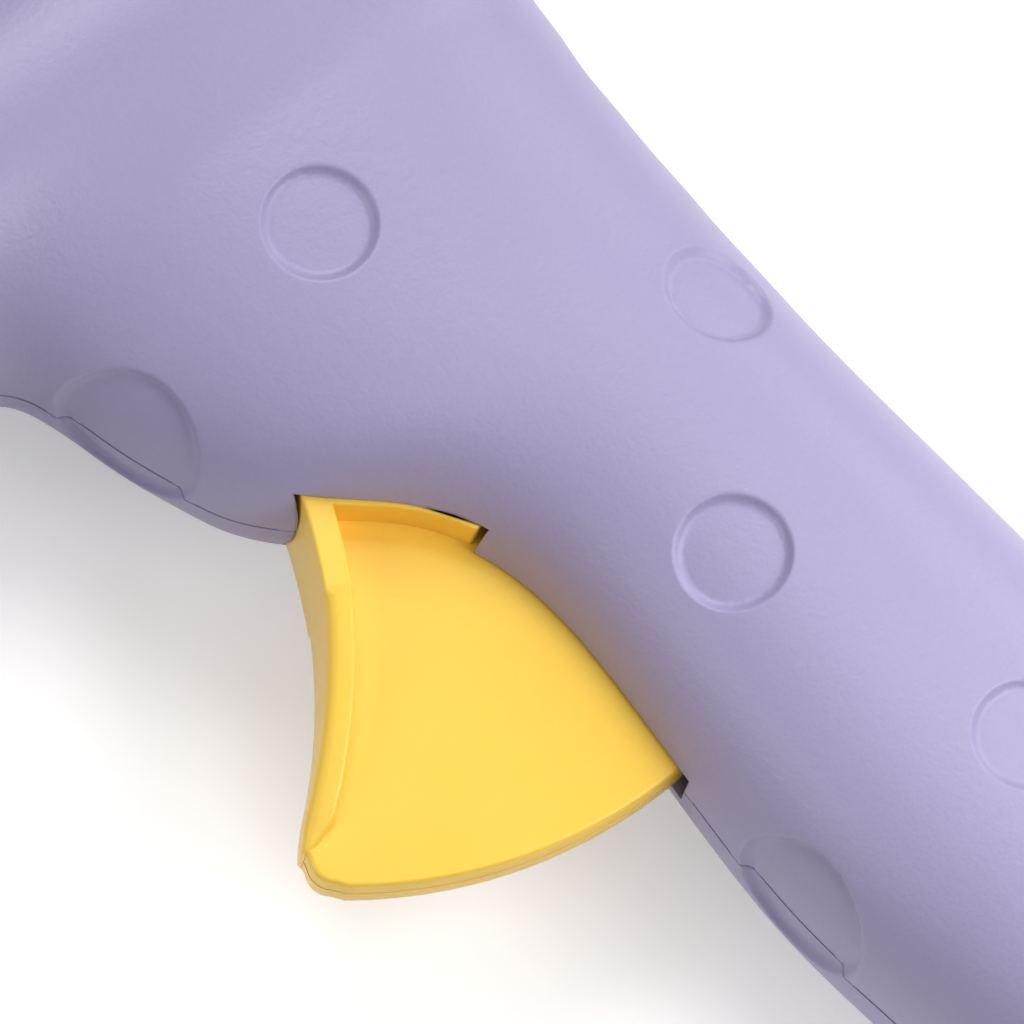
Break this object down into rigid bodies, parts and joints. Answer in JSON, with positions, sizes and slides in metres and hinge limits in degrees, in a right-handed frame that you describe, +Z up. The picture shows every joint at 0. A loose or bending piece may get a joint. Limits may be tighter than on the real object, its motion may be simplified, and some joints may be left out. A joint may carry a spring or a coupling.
{
  "type": "glue gun",
  "caption": "Compact hot-melt glue gun with dimpled two-half housing, swing trigger, stick feed, heated nozzle and folding wire stand, lying on its side.",
  "frame": {"origin": "bottom centre of the bounding box, on the surface the gun lies on", "axes": "+X along the barrel towards the stick inlet (nozzle towards -X), +Y from the handle up to the barrel, +Z up out of the side it lies on"},
  "size_m": [0.148, 0.1326, 0.0357],
  "materials": {
    "housing_plastic": "fine spark-eroded matte",
    "trigger_plastic": "smooth satin",
    "steel": "bright zinc",
    "brass": "turned",
    "nozzle_silicone": "matte",
    "collar_plastic": "matte",
    "aluminium": "cast and machined",
    "heater_ceramic": "ceramic plate",
    "inner_silicone": "matte",
    "mechanism_plastic": "moulded",
    "gland_rubber": "matte",
    "lead_insulation": "braided sleeve",
    "stand_wire": "bright zinc"
  },
  "bodies": {
    "housing": {"right_shell": "housing_plastic", "left_shell": "housing_plastic", "trigger_pin": "steel", "guide_rod": "steel", "nozzle": "brass", "nozzle_sleeve": "nozzle_silicone", "nozzle_collar": "collar_plastic", "melt_chamber": "aluminium", "ptc_heater": "heater_ceramic", "inlet_sleeve": "inner_silicone", "sleeve_clip": "steel", "stick_guide": "mechanism_plastic", "cord_gland": "gland_rubber", "cord_clamp": "mechanism_plastic", "clamp_screws": "steel", "heater_leads": "lead_insulation", "lead_splices": "lead_insulation", "case_screws": "steel"},
    "trigger": {"trigger": "trigger_plastic", "drive_pin": "steel", "return_spring": "steel"},
    "carriage": {"feed_carriage": "mechanism_plastic", "jaw_pin": "steel"},
    "jaw": {"feed_jaw": "steel"},
    "stand": {"wire_stand": "stand_wire"}
  },
  "joints": [
    {"name": "trigger_pull", "type": "hinge", "parent": "housing", "child": "trigger", "pos_m": [0.03118, 0.01718, 0.01784], "axis": [0, 0, 1], "range_deg": [0, 25], "stiffness_Nm_per_rad": 0.12, "springref_deg": -20.05},
    {"name": "feed_slide", "type": "slide", "parent": "housing", "child": "carriage", "axis": [-1, 0, 0], "range_m": [0, 0.0077]},
    {"name": "jaw_tilt", "type": "hinge", "parent": "carriage", "child": "jaw", "pos_m": [0.03677, 0.05558, 0.01784], "axis": [0, 0, 1], "range_deg": [0, 12.1]},
    {"name": "stand_fold", "type": "hinge", "parent": "housing", "child": "stand", "pos_m": [-0.03402, 0.03128, 0.01784], "axis": [0, 0, -1], "range_deg": [0, 100]}
  ],
  "couplings": [
    {"joint": "feed_slide", "follows": "trigger_pull", "m_per_rad": 0.017361},
    {"joint": "jaw_tilt", "follows": "trigger_pull", "ratio": 0.48}
  ]
}
